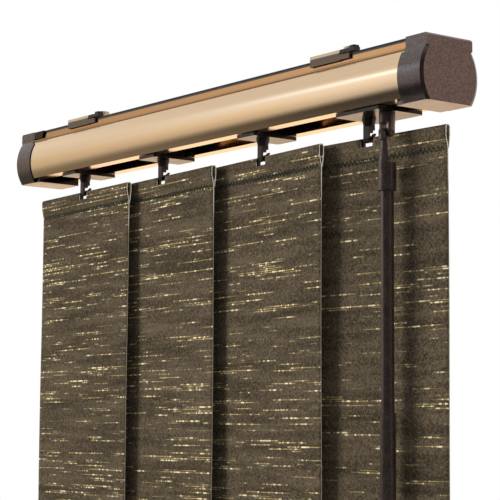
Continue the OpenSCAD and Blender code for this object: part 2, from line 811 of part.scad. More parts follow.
module joint_cross() {
  color(dark_plastic) at_wand() translate([0, 0, pivot_z]) union() {
    cube(cross_s, center = true);
    rotate([0, 90, 0]) cylinder(r = pin_r, h = yoke_d - pin_short, center = true);
    rotate([90, 0, 0]) cylinder(r = pin_r, h = (socket_d - pin_short) / 2);
  }
}

// Sleeve round the rod, with one arm that rises in front of the joint
module wand_socket() {
  arm_z = pivot_z - arm_l;
  arm_d = socket_d - arm_taper;
  color(dark_plastic) at_wand() difference() {
    union() {
      translate([0, 0, sleeve_bottom]) cylinder(d = socket_d, h = arm_z - sleeve_bottom);
      difference() {
        union() {
          translate([0, 0, arm_z - bite])
            cylinder(d1 = socket_d, d2 = arm_d, h = arm_l - socket_ear_r + bite);
          intersection() {
            translate([0, 0, pivot_z - 2 * socket_ear_r]) cylinder(d = socket_d, h = 4 * socket_ear_r);
            rotate([90, 0, 0]) linear_extrude(socket_d) union() {
              translate([0, pivot_z]) circle(socket_ear_r);
              translate([-socket_ear_r, pivot_z - 2 * socket_ear_r]) square(2 * socket_ear_r);
            }
          }
        }
        block([-socket_d, -fork_slot / 2, arm_z], [socket_d, socket_d, pivot_z + socket_d]);
      }
    }
    translate([0, 0, sleeve_bottom - 1]) cylinder(d = wand_d + 2 * slack, h = rod_seat + 1);
    translate([0, -socket_d, pivot_z]) rotate([-90, 0, 0]) cylinder(r = pin_r + run, h = socket_d);
  }
}

module wand_rod() {
  rod_end = wand_end + grip_end;
  color(dark_plastic) at_wand() translate([0, 0, rod_end])
    cylinder(d = wand_d, h = sleeve_bottom + rod_seat - rod_end);
}

// Grip over the rod's lower end, with a rounded tip
module wand_grip() {
  color(dark_plastic) at_wand() difference() {
    rotate_extrude() union() {
      translate([0, wand_end + grip_d / 2]) square([grip_d / 2, grip_l - grip_d / 2]);
      intersection() {
        translate([0, wand_end + grip_d / 2]) circle(grip_d / 2);
        translate([0, wand_end]) square(grip_d);
      }
    }
    translate([0, 0, wand_end + grip_end]) cylinder(d = wand_d, h = grip_l);
  }
}

headrail();
end_cap_left();
end_cap_right();
mounting_clip_left();
mounting_clip_right();
clip_lever_left();
clip_lever_right();
tilt_rod();
carrier_1();
carrier_2();
carrier_3();
lead_carrier();
worm_1();
worm_2();
worm_3();
lead_worm();
stem_1();
stem_2();
stem_3();
stem_4();
hanger_1();
hanger_2();
hanger_3();
hanger_4();
vane_1();
vane_2();
vane_3();
vane_4();
vane_weight_1();
vane_weight_2();
vane_weight_3();
vane_weight_4();
spacer_link_1();
spacer_link_2();
spacer_link_3();
wand_stub();
joint_cross();
wand_socket();
wand_rod();
wand_grip();
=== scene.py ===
"""Looks of a wand-operated vertical blind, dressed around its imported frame.

Every piece is in metres in the frame's own axes: X along the rail, Y to the window, Z up to the ceiling.
"""

import json
import logging
import math
from dataclasses import dataclass, replace
from enum import Enum

import bmesh
import bpy
from mathutils import Matrix, Vector


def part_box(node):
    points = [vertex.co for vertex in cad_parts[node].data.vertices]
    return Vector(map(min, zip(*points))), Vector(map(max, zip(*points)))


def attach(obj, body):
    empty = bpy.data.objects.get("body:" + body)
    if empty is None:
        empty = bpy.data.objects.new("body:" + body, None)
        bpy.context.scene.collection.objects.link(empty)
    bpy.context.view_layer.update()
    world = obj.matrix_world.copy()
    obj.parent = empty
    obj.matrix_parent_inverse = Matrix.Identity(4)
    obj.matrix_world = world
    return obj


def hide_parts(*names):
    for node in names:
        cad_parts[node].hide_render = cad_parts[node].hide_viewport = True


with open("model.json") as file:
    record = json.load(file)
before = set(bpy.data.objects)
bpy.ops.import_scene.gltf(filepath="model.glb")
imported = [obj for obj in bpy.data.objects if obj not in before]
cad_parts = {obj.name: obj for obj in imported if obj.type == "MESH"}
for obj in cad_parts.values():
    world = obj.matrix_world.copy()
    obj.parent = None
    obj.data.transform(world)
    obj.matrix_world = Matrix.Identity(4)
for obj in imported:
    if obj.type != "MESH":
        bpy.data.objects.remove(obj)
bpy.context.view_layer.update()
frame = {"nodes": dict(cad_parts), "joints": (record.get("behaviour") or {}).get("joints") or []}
LOG = logging.getLogger("vertical_blind")

MM = 0.001
IMAGE_PIXELS = 500
SENSOR_MM = 36.0
CLOTH_UV = "cloth"
CARD_SHADE = "shade"

Colour = tuple[float, float, float]
Place = tuple[float, float, float]
Span = tuple[float, float]
Shades = tuple[tuple[float, float], ...]
Socket = bpy.types.NodeSocket
Feed = Socket | float | tuple

WHITE: Colour = (1.0, 1.0, 1.0)


def opaque(colour: Colour) -> tuple[float, float, float, float]:
    """Returns a colour with full opacity."""
    return (*colour, 1.0)


class NodeKit:
    """Adds nodes to one shader tree and wires them together."""

    def __init__(self, tree: bpy.types.NodeTree) -> None:
        """Keeps the tree that the nodes go into."""
        self.tree = tree

    def add(self, kind: str, **settings: object) -> bpy.types.Node:
        """Adds a node and sets its properties.

        Args:
            kind: The node's type name.
            settings: Properties to set on it.

        Returns:
            The new node.
        """
        node = self.tree.nodes.new(kind)
        for name, value in settings.items():
            setattr(node, name, value)
        return node

    def feed(self, target: Socket, source: Feed) -> None:
        """Links a socket into another, or sets a plain value on it.

        Args:
            target: The input that is fed.
            source: The socket or the value that feeds it.
        """
        if isinstance(source, bpy.types.NodeSocket):
            self.tree.links.new(source, target)
        else:
            target.default_value = source

    def math(self, operation: str, *values: Feed) -> Socket:
        """Adds a Math node.

        Args:
            operation: The node's operation.
            values: Its inputs, in order.

        Returns:
            The result's socket.
        """
        node = self.add("ShaderNodeMath", operation=operation)
        for target, value in zip(node.inputs, values):
            self.feed(target, value)
        return node.outputs[0]

    def times(self, value: Feed, factor: Feed) -> Socket:
        """Returns the socket of a product."""
        return self.math("MULTIPLY", value, factor)

    def ramp(self, value: Feed, low: float, high: float) -> Socket:
        """Adds a smooth step that rises from 0 at low to 1 at high, or falls if low is above high.

        Args:
            value: What is compared.
            low: Where the step is 0.
            high: Where the step is 1.

        Returns:
            The step's socket.
        """
        node = self.add("ShaderNodeMapRange", interpolation_type="SMOOTHSTEP", clamp=True)
        rising = low < high
        self.feed(node.inputs["Value"], value)
        node.inputs["From Min"].default_value = min(low, high)
        node.inputs["From Max"].default_value = max(low, high)
        node.inputs["To Min"].default_value = 0.0 if rising else 1.0
        node.inputs["To Max"].default_value = 1.0 if rising else 0.0
        return node.outputs["Result"]

    def mix(self, factor: Feed, first: Feed, second: Feed) -> Socket:
        """Adds a colour mix.

        Args:
            factor: 0 for the first colour, 1 for the second.
            first: A colour of four numbers, or a socket.
            second: A colour of four numbers, or a socket.

        Returns:
            The mixed colour's socket.
        """
        node = self.add("ShaderNodeMix", data_type="RGBA")
        self.feed(node.inputs[0], factor)
        self.feed(node.inputs[6], first)
        self.feed(node.inputs[7], second)
        return node.outputs[2]

    def blend(self, factor: Feed, first: Feed, second: Feed) -> Socket:
        """Adds a mix of two values.

        Args:
            factor: 0 for the first value, 1 for the second.
            first: The first value.
            second: The second value.

        Returns:
            The mixed value's socket.
        """
        node = self.add("ShaderNodeMix", data_type="FLOAT")
        self.feed(node.inputs[0], factor)
        self.feed(node.inputs[2], first)
        self.feed(node.inputs[3], second)
        return node.outputs[0]

    def vector(self, x: Feed, y: Feed, z: Feed = 0.0) -> Socket:
        """Joins three values into a vector.

        Args:
            x: The first value.
            y: The second value.
            z: The third value.

        Returns:
            The vector's socket.
        """
        node = self.add("ShaderNodeCombineXYZ")
        for target, value in zip(node.inputs, (x, y, z)):
            self.feed(target, value)
        return node.outputs[0]

    def split(self, source: Socket) -> tuple[Socket, Socket, Socket]:
        """Splits a vector.

        Args:
            source: The vector's socket.

        Returns:
            The sockets of its three values.
        """
        node = self.add("ShaderNodeSeparateXYZ")
        self.feed(node.inputs[0], source)
        return node.outputs[0], node.outputs[1], node.outputs[2]

    def noise(self, vector: Feed, scale: float = 1.0, detail: float = 1.0) -> Socket:
        """Adds a noise texture.

        Args:
            vector: The coordinates it reads.
            scale: Its features per unit.
            detail: Its octaves.

        Returns:
            The noise value's socket.
        """
        node = self.add("ShaderNodeTexNoise")
        self.feed(node.inputs["Vector"], vector)
        node.inputs["Scale"].default_value = scale
        node.inputs["Detail"].default_value = detail
        return node.outputs[0]

    def group(self, tree: bpy.types.NodeTree, **feeds: Feed) -> bpy.types.Node:
        """Places a node group.

        Args:
            tree: The group's tree.
            feeds: What feeds each named input.

        Returns:
            The group's node.
        """
        node = self.add("ShaderNodeGroup", node_tree=tree)
        for name, source in feeds.items():
            self.feed(node.inputs[name], source)
        return node

    def bump(self, height: Socket, distance: float) -> Socket:
        """Adds a Bump node.

        Args:
            height: What raises the surface, from 0 to 1.
            distance: How far it raises it.

        Returns:
            The bent normal's socket.
        """
        node = self.add("ShaderNodeBump")
        node.inputs["Distance"].default_value = distance
        node.inputs["Strength"].default_value = 1.0
        self.feed(node.inputs["Height"], height)
        return node.outputs["Normal"]


class Effect(Enum):
    """Surface effects that several finishes share, each a node group."""

    GRAIN = "moulded_grain"
    DRAWN = "drawn_streaks"
    YARNS = "woven_yarns"

    def tree(self) -> bpy.types.NodeTree:
        """Returns the effect's node group, built at its first use."""
        return bpy.data.node_groups.get(self.value) or EFFECT_BUILDERS[self]()


def new_group(
    effect: Effect, inputs: dict[str, str], outputs: tuple[str, ...]
) -> tuple[NodeKit, dict[str, Socket], dict[str, Socket]]:
    """Starts a node group with named sockets.

    Args:
        effect: The effect that the group makes.
        inputs: Each input's name and socket type.
        outputs: The names of its value outputs.

    Returns:
        The group's kit, its input sockets by name and its output sockets by name.
    """
    tree = bpy.data.node_groups.new(effect.value, "ShaderNodeTree")
    for name, kind in inputs.items():
        tree.interface.new_socket(name, in_out="INPUT", socket_type=kind)
    for name in outputs:
        tree.interface.new_socket(name, in_out="OUTPUT", socket_type="NodeSocketFloat")
    kit = NodeKit(tree)
    start = kit.add("NodeGroupInput")
    end = kit.add("NodeGroupOutput")
    given = {name: start.outputs[name] for name in inputs}
    out = {name: end.inputs[name] for name in outputs}
    return kit, given, out


def build_grain() -> bpy.types.NodeTree:
    """Builds the fine pebble and soft mottle of moulded plastic.

    Returns:
        The effect's node group.
    """
    pebbles_per_metre = 1000.0
    mottles_per_metre = 140.0
    kit, given, out = new_group(Effect.GRAIN, {"Place": "NodeSocketVector"}, ("Pebble", "Mottle"))
    kit.feed(out["Pebble"], kit.noise(given["Place"], pebbles_per_metre, detail=2.0))
    kit.feed(out["Mottle"], kit.noise(given["Place"], mottles_per_metre, detail=3.0))
    return kit.tree


def build_drawn() -> bpy.types.NodeTree:
    """Builds the fine lines and broad bands that drawing leaves along X on metal.

    Returns:
        The effect's node group.
    """
    breaks_per_metre = 3.0
    lines_per_metre = 2400.0
    bands_per_metre = 260.0
    kit, given, out = new_group(Effect.DRAWN, {"Place": "NodeSocketVector"}, ("Line", "Cloud"))
    x, y, z = kit.split(given["Place"])
    along = kit.times(x, breaks_per_metre)
    fine = kit.vector(along, kit.times(y, lines_per_metre), kit.times(z, lines_per_metre))
    broad = kit.vector(along, kit.times(y, bands_per_metre), kit.times(z, bands_per_metre))
    kit.feed(out["Line"], kit.noise(fine, detail=2.0))
    kit.feed(out["Cloud"], kit.noise(broad, detail=2.0))
    return kit.tree


@dataclass
class SlubWeave:
    """The slub weave's node group, drawn on the cloth's own width and length in metres.

    Flecks, runs, beads, knots and waves are counted in a metre, and waves both across and down. A scatter
    keeps neighbouring yarns from reading the same noise. A range says where a feature starts and where it is
    full, and an edge says where it ends and is full, from its row's middle. over_tone mixes weft and warp at
    a crossing, as a swing and a start. Slubs are the gold yarns: they drift off their rows, liveliness is
    how much more gold a lucky one shows, and slub_height is how far they stand out, a ground yarn being 1.
    """

    weft_pitch: float = 1.0 * MM
    warp_pitch: float = 0.9 * MM
    weft_flecks: float = 520.0
    warp_flecks: float = 620.0
    weft_scatter: float = 9.37
    warp_scatter: float = 11.83
    over_tone: Span = (0.5, 0.2)
    slub_pitch: float = 1.25 * MM
    slub_drift: float = 1.6 * MM
    drift_waves: Span = (12.0, 40.0)
    slub_scatter: float = 7.71
    run_scatter: float = 57.0
    runs: float = 26.0
    run_range: Span = (0.55, 0.68)
    liveliness: float = 0.2
    slub_edge: Span = (0.33, 0.08)
    beads: float = 150.0
    bead_range: Span = (0.22, 0.58)
    knots: float = 340.0
    knot_edge: Span = (0.48, 0.2)
    knot_range: Span = (0.54, 0.64)
    cloud_waves: Span = (14.0, 160.0)
    slub_height: float = 1.2

    def build(self) -> bpy.types.NodeTree:
        """Builds the weave.

        Returns:
            The effect's node group.
        """
        self.kit, given, out = new_group(
            Effect.YARNS,
            {"Cloth": "NodeSocketVector", "Seed": "NodeSocketFloat", "Plain": "NodeSocketFloat"},
            ("Heather", "Slub", "Glint", "Cloud", "Height"))
        self.seed = given["Seed"]
        self.across, self.down, _ = self.kit.split(given["Cloth"])
        heather, height = self.weave_ground()
        slub, glint = self.lay_slubs(given["Plain"])
        self.kit.feed(out["Heather"], heather)
        self.kit.feed(out["Slub"], slub)
        self.kit.feed(out["Glint"], glint)
        self.kit.feed(out["Cloud"], self.kit.noise(self.waves(self.cloud_waves), detail=2.0))
        self.kit.feed(out["Height"], self.kit.math("MULTIPLY_ADD", slub, self.slub_height, height))
        return self.kit.tree

    def waves(self, per_metre: Span) -> Socket:
        """Scales the cloth's coordinates.

        Args:
            per_metre: The waves in a metre across and in a metre down.

        Returns:
            The scaled coordinates' socket.
        """
        across, down = per_metre
        kit = self.kit
        return kit.vector(kit.times(self.across, across), kit.times(self.down, down), self.seed)

    def rounded(self, yarns: Socket) -> Socket:
        """Returns the round height of yarns, counted from one edge of the cloth."""
        return self.kit.math("ABSOLUTE", self.kit.math("SINE", self.kit.times(yarns, math.pi)))

    def weave_ground(self) -> tuple[Socket, Socket]:
        """Weaves the dark yarns, weft and warp over each other in turn.

        Returns:
            The yarns' tone and their height.
        """
        kit = self.kit
        weft = kit.math("DIVIDE", self.down, self.weft_pitch)
        warp = kit.math("DIVIDE", self.across, self.warp_pitch)
        row = kit.math("FLOOR", weft)
        column = kit.math("FLOOR", warp)
        row_at = kit.math("ADD", kit.times(row, self.weft_scatter), self.seed)
        column_at = kit.math("ADD", kit.times(column, self.warp_scatter), self.seed)
        weft_tone = kit.noise(kit.vector(kit.times(self.across, self.weft_flecks), row_at), detail=2.0)
        warp_tone = kit.noise(kit.vector(kit.times(self.down, self.warp_flecks), column_at), detail=2.0)
        over = kit.math("PINGPONG", kit.math("ADD", row, column), 1.0)
        heather = kit.blend(kit.math("MULTIPLY_ADD", over, *self.over_tone), weft_tone, warp_tone)
        height = kit.blend(over, self.rounded(weft), self.rounded(warp))
        return heather, height

    def lay_slubs(self, plain: Socket) -> tuple[Socket, Socket]:
        """Lays the gold yarns across the cloth, as thin tails with knots on them, whose brightness is partly
        a painted glint.

        Args:
            plain: How much less gold than usual the cloth shows.

        Returns:
            The masks of the tails and of the knots, which also carry the painted glint.
        """
        kit = self.kit
        drift = kit.noise(self.waves(self.drift_waves))
        drifted = kit.math("MULTIPLY_ADD", drift, self.slub_drift, self.down)
        line = kit.math("DIVIDE", drifted, self.slub_pitch)
        row = kit.math("FLOOR", line)
        off_middle = kit.math("ABSOLUTE", kit.math("SUBTRACT", kit.math("FRACT", line), 0.5))
        chance = kit.add("ShaderNodeTexWhiteNoise", noise_dimensions="1D")
        kit.feed(chance.inputs["W"], kit.math("ADD", row, self.seed))
        luck = chance.outputs["Value"]
        row_at = kit.times(row, self.slub_scatter)
        run_at = kit.math("MULTIPLY_ADD", self.across, self.runs, kit.times(luck, self.run_scatter))
        run = kit.noise(kit.vector(run_at, row_at, self.seed), detail=2.0)
        lively = kit.math("MULTIPLY_ADD", kit.math("SUBTRACT", luck, 0.5), self.liveliness, run)
        present = kit.ramp(kit.math("SUBTRACT", lively, plain), *self.run_range)
        bead = kit.noise(kit.vector(kit.times(self.across, self.beads), row_at, self.seed))
        knot = kit.noise(kit.vector(kit.times(self.across, self.knots), row_at, self.seed))
        tail = kit.times(present, kit.ramp(off_middle, *self.slub_edge))
        knot_shape = kit.times(kit.ramp(off_middle, *self.knot_edge), kit.ramp(knot, *self.knot_range))
        return kit.times(tail, kit.ramp(bead, *self.bead_range)), kit.times(present, knot_shape)


EFFECT_BUILDERS = {Effect.GRAIN: build_grain, Effect.DRAWN: build_drawn, Effect.YARNS: SlubWeave().build}


@dataclass(frozen=True)
class Finish:
    """A surface finish: its material's name, its main colour and its middle roughness."""

    name: str
    colour: Colour
    roughness: float

    def start(self) -> tuple[bpy.types.Material, NodeKit, bpy.types.Node]:
        """Makes the material.

        Returns:
            The material, its kit and its Principled shader.
        """
        material = bpy.data.materials.new(self.name)
        material.use_nodes = True
        kit = NodeKit(material.node_tree)
        shader = material.node_tree.nodes["Principled BSDF"]
        shader.inputs["Base Color"].default_value = opaque(self.colour)
        shader.inputs["Roughness"].default_value = self.roughness
        return material, kit, shader

    def material(self) -> bpy.types.Material:
        """Returns the finish's material, built at its first use."""
        return bpy.data.materials.get(self.name) or self.build()

    def build(self) -> bpy.types.Material:
        """Builds the material; each finish has its own."""
        raise NotImplementedError

    def uneven(self, kit: NodeKit, value: Socket, swing: float) -> Socket:
        """Returns a roughness that a value swings about its middle."""
        return kit.math("MULTIPLY_ADD", value, swing, self.roughness - swing / 2)

    @staticmethod
    def place(kit: NodeKit) -> Socket:
        """Returns the piece's own coordinates, in metres."""
        return kit.add("ShaderNodeTexCoord").outputs["Object"]


@dataclass(frozen=True)
class MouldedPlastic(Finish):
    """Moulded plastic with a fine pebble and a soft mottle.

    Its colour is nearly black, so that its gloss fades where it is metallic: in part in the pebble's pits,
    and almost wholly on a stretch in painted shade, which turns black.

    Attributes:
        pale: The mottle's paler colour.
        mottle_range: Where the paler colour starts and where it is full.
        rough_swing: How much the mottle changes the roughness.
        pebble: The pebble's depth.
        gloss: The specular level.
        tint: The gloss's colour.
        ior: The index of refraction.
        pit_range: Where a pit starts and where it is full.
        pit_dullness: How much of its gloss a pit loses.
        painted_shade_from: The X from which the piece is in painted shade, if it is.
        painted_shade_dulling: How much of its gloss the stretch in painted shade loses.
    """

    pale: Colour
    mottle_range: Span = (0.35, 0.7)
    rough_swing: float = 0.16
    pebble: float = 0.03 * MM
    gloss: float = 0.7
    tint: Colour = (1.0, 0.82, 0.8)
    ior: float = 1.75
    pit_range: Span = (0.35, 0.65)
    pit_dullness: float = 0.38
    painted_shade_from: float | None = None
    painted_shade_dulling: float = 0.9

    def build(self) -> bpy.types.Material:
        """Builds the plastic.

        Returns:
            The material.
        """
        material, kit, shader = self.start()
        place = self.place(kit)
        grain = kit.group(Effect.GRAIN.tree(), Place=place)
        mottle = grain.outputs["Mottle"]
        pebble = grain.outputs["Pebble"]
        tone = kit.ramp(mottle, *self.mottle_range)
        dull = kit.times(kit.ramp(pebble, *self.pit_range), self.pit_dullness)
        # Painted shade: past a given X the plastic loses its gloss and turns black, for the shade that the
        # left cap's tongue lies in
        if self.painted_shade_from is not None:
            painted_shade_stretch = kit.math("GREATER_THAN", kit.split(place)[0], self.painted_shade_from)
            dull = kit.math("MAXIMUM", dull, kit.times(painted_shade_stretch, self.painted_shade_dulling))
        kit.feed(shader.inputs["Base Color"], kit.mix(tone, opaque(self.colour), opaque(self.pale)))
        kit.feed(shader.inputs["Metallic"], dull)
        kit.feed(shader.inputs["Roughness"], self.uneven(kit, mottle, self.rough_swing))
        kit.feed(shader.inputs["Normal"], kit.bump(pebble, self.pebble))
        shader.inputs["IOR"].default_value = self.ior
        shader.inputs["Specular IOR Level"].default_value = self.gloss
        shader.inputs["Specular Tint"].default_value = opaque(self.tint)
        return material


@dataclass(frozen=True)
class AnodisedRail(Finish):
    """Satin anodised extrusion with lines along it, a ridge in painted shade and a painted shade line at its
    top edge.

    The ridge's darker copper is painted shade for the dimmer reflection that it catches. The near-black,
    non-metallic top line is painted shade for the shadowed lip. Both start at heights in the frame, and
    ridge_painted_shade_blend is half the height over which the ridge's painted shade comes in.
    """

    pale: Colour
    ridge_painted_shade_colour: Colour
    top_painted_shade_colour: Colour
    ridge_painted_shade_from: float = -14.8 * MM
    ridge_painted_shade_blend: float = 0.4 * MM
    top_painted_shade_from: float = -10.4 * MM
    rough_swing: float = 0.12
    line_depth: float = 0.004 * MM

    def build(self) -> bpy.types.Material:
        """Builds the rail's metal.

        Returns:
            The material.
        """
        material, kit, shader = self.start()
        place = self.place(kit)
        drawn = kit.group(Effect.DRAWN.tree(), Place=place)
        height = kit.split(place)[2]
        metal = kit.mix(drawn.outputs["Cloud"], opaque(self.colour), opaque(self.pale))
        # Painted shade: the ridge turns a darker copper, for the dimmer reflection that it catches
        ridge = kit.ramp(height, self.ridge_painted_shade_from - self.ridge_painted_shade_blend, self.ridge_painted_shade_from + self.ridge_painted_shade_blend)
        metal = kit.mix(ridge, metal, opaque(self.ridge_painted_shade_colour))
        # Painted shade: a near-black, non-metallic line along the top edge, for the shadowed lip
        top_painted_shade = kit.math("GREATER_THAN", height, self.top_painted_shade_from)
        kit.feed(shader.inputs["Base Color"], kit.mix(top_painted_shade, metal, opaque(self.top_painted_shade_colour)))
        kit.feed(shader.inputs["Metallic"], kit.math("SUBTRACT", 1.0, top_painted_shade))
        kit.feed(shader.inputs["Roughness"], self.uneven(kit, drawn.outputs["Line"], self.rough_swing))
        kit.feed(shader.inputs["Normal"], kit.bump(drawn.outputs["Line"], self.line_depth))
        return material


@dataclass(frozen=True)
class PlainMetal(Finish):
    """Bright or painted metal with faint drawn lines, whose top may carry a painted highlight in another
    colour.

    The painted highlight starts at a height in the frame, and painted_highlight_blend is half the height
    over which it comes in.
    """

    pale: Colour
    metallic: float = 1.0
    painted_highlight_colour: Colour | None = None
    painted_highlight_from: float = 0.0
    painted_highlight_blend: float = 0.3 * MM
    rough_swing: float = 0.16

    def build(self) -> bpy.types.Material:
        """Builds the metal.

        Returns:
            The material.
        """
        material, kit, shader = self.start()
        place = self.place(kit)
        drawn = kit.group(Effect.DRAWN.tree(), Place=place)
        metal = kit.mix(drawn.outputs["Cloud"], opaque(self.colour), opaque(self.pale))
        # Painted highlight: the top turns a lighter colour, where light catches the plate's edge
        if self.painted_highlight_colour:
            height = kit.split(place)[2]
            top = kit.ramp(height, self.painted_highlight_from - self.painted_highlight_blend, self.painted_highlight_from + self.painted_highlight_blend)
            metal = kit.mix(top, metal, opaque(self.painted_highlight_colour))
        kit.feed(shader.inputs["Base Color"], metal)
        kit.feed(shader.inputs["Roughness"], self.uneven(kit, drawn.outputs["Line"], self.rough_swing))
        shader.inputs["Metallic"].default_value = self.metallic
        return material


@dataclass(frozen=True)
class SlubCloth(Finish):
    """Dark slub weave with gold yarns; each vane's cloth has its own seed.

    Light is the colour of the lighter ground yarns, gold of the tails and knot_and_glint_gold of the knots,
    partly their own pale gold and partly a painted glint. Clouds swing the ground's tone, and plain is how
    much less gold than usual the cloth shows.
    """

    light: Colour
    gold: Colour
    knot_and_glint_gold: Colour
    tone_range: Span = (0.33, 0.7)
    cloud_swing: float = 0.4
    yarn_height: float = 0.12 * MM
    sheen: float = 0.12
    seed: float = 0.0
    plain: float = 0.0

    def build(self) -> bpy.types.Material:
        """Builds the cloth.

        Returns:
            The material.
        """
        material, kit, shader = self.start()
        cloth = kit.add("ShaderNodeUVMap", uv_map=CLOTH_UV).outputs["UV"]
        yarns = kit.group(Effect.YARNS.tree(), Cloth=cloth, Seed=self.seed, Plain=self.plain)
        cloud = kit.times(kit.math("SUBTRACT", yarns.outputs["Cloud"], 0.5), self.cloud_swing)
        tone = kit.ramp(kit.math("ADD", yarns.outputs["Heather"], cloud), *self.tone_range)
        ground = kit.mix(tone, opaque(self.colour), opaque(self.light))
        streaked = kit.mix(yarns.outputs["Slub"], ground, opaque(self.gold))
        # Partly painted glint: the knots turn a pale gold that is partly their own colour and partly a
        # highlight
        knotted = kit.mix(yarns.outputs["Glint"], streaked, opaque(self.knot_and_glint_gold))
        kit.feed(shader.inputs["Base Color"], knotted)
        kit.feed(shader.inputs["Normal"], kit.bump(yarns.outputs["Height"], self.yarn_height))
        shader.inputs["Specular IOR Level"].default_value = self.sheen
        return material


@dataclass(frozen=True)
class Fibre(Finish):
    """Cut yarn ends and sewing thread, with a twisted, uneven tone.

    Over the heights of low_range the colour turns from low_colour, where there is one, to the usual one.
    """

    dark: Colour
    low_colour: Colour | None = None
    low_range: Span = (-94 * MM, -80 * MM)
    twists: float = 1400.0
    twist_range: Span = (0.3, 0.65)
    twist_height: float = 0.08 * MM

    def build(self) -> bpy.types.Material:
        """Builds the fibre.

        Returns:
            The material.
        """
        material, kit, shader = self.start()
        place = self.place(kit)
        twist = kit.noise(place, self.twists, detail=2.0)
        fibre = kit.mix(kit.ramp(twist, *self.twist_range), opaque(self.dark), opaque(self.colour))
        if self.low_colour:
            upper = kit.ramp(kit.split(place)[2], *self.low_range)
            fibre = kit.mix(upper, opaque(self.low_colour), fibre)
        kit.feed(shader.inputs["Base Color"], fibre)
        kit.feed(shader.inputs["Normal"], kit.bump(twist, self.twist_height))
        return material


# The ridge's darker copper and the near-black top line are painted shade
RAIL_FINISH = AnodisedRail(
    "champagne_anodised", (0.67, 0.49, 0.31), roughness=0.16, pale=(0.74, 0.565, 0.385),
    ridge_painted_shade_colour=(0.46, 0.26, 0.125), top_painted_shade_colour=(0.012, 0.01, 0.009))
CAP_FINISH = MouldedPlastic(
    "brown_moulded", (0.01, 0.0075, 0.0068), roughness=0.2, pale=(0.016, 0.012, 0.0105))
# The left cap's tongue is in painted shade: past this X it loses its gloss and turns black
TONGUE_FINISH = replace(CAP_FINISH, name="brown_moulded_left", painted_shade_from=-200.9 * MM)
DRIVE_FINISH = MouldedPlastic(
    "black_moulded", (0.01, 0.0085, 0.008), roughness=0.22, pale=(0.018, 0.015, 0.014), gloss=0.3, ior=1.5)
WAND_FINISH = MouldedPlastic(
    "wand_moulded", (0.017, 0.0128, 0.011), roughness=0.32, pale=(0.028, 0.021, 0.018))
# The clip's beige top is a painted highlight, where light catches the plate's edge
CLIP_FINISH = PlainMetal(
    "bronze_painted", (0.075, 0.05, 0.034), roughness=0.4, pale=(0.12, 0.085, 0.06), metallic=0.5,
    painted_highlight_colour=(0.5, 0.39, 0.27), painted_highlight_from=-7.4 * MM)
ROD_FINISH = PlainMetal("mill_aluminium", (0.6, 0.6, 0.59), roughness=0.3, pale=(0.75, 0.75, 0.74))
STEEL_FINISH = PlainMetal("bright_steel", (0.45, 0.44, 0.42), roughness=0.28, pale=(0.6, 0.59, 0.57))
CLOTH_FINISH = SlubCloth(
    "slub_cloth", (0.042, 0.033, 0.021), roughness=0.85, light=(0.15, 0.117, 0.077),
    gold=(0.48, 0.36, 0.155), knot_and_glint_gold=(1.0, 0.89, 0.56))
EDGE_FINISH = Fibre(
    "cut_yarn_ends", (0.86, 0.81, 0.71), roughness=0.85, dark=(0.6, 0.55, 0.45),
    low_colour=(0.26, 0.225, 0.17))
THREAD_FINISH = Fibre("overlock_thread", (0.018, 0.042, 0.027), roughness=0.7, dark=(0.007, 0.015, 0.01))


def dress(node: str, finish: Finish) -> None:
    """Puts a finish on a frame node and reports it.

    Args:
        node: The node's name.
        finish: What it gets.
    """
    obj = frame["nodes"][node]
    material = finish.material()
    if obj.material_slots:
        obj.material_slots[0].material = material
    else:
        obj.data.materials.append(material)
    LOG.info("%s: %s", node, finish.name)


def mesh_object(name: str, mesh: bmesh.types.BMesh, *materials: bpy.types.Material) -> bpy.types.Object:
    """Turns a finished bmesh into an object at the origin and reports it.

    Args:
        name: The piece's name.
        mesh: The bmesh, which is freed.
        materials: The piece's materials, in slot order.

    Returns:
        The new object.
    """
    data = bpy.data.meshes.new(name)
    mesh.to_mesh(data)
    mesh.free()
    for material in materials:
        data.materials.append(material)
    obj = bpy.data.objects.new(name, data)
    bpy.context.scene.collection.objects.link(obj)
    LOG.info("%s: %d faces", name, len(data.polygons))
    return obj


@dataclass(frozen=True)
class SoftBox:
    """A square lamp that points at the vanes and that reflections don't see."""

    name: str
    place: Place
    size: float
    watts: float
    colour: Colour = WHITE
    aim: Place = (0.0, 0.0, -0.2)

    def build(self) -> None:
        """Makes the lamp."""
        data = bpy.data.lights.new(self.name, "AREA")
        data.size = self.size
        data.energy = self.watts
        data.color = self.colour
        lamp = bpy.data.objects.new(self.name, data)
        lamp.location = self.place
        lamp.rotation_euler = (Vector(self.aim) - Vector(self.place)).to_track_quat("-Z", "Y").to_euler()
        lamp.visible_glossy = False
        bpy.context.scene.collection.objects.link(lamp)


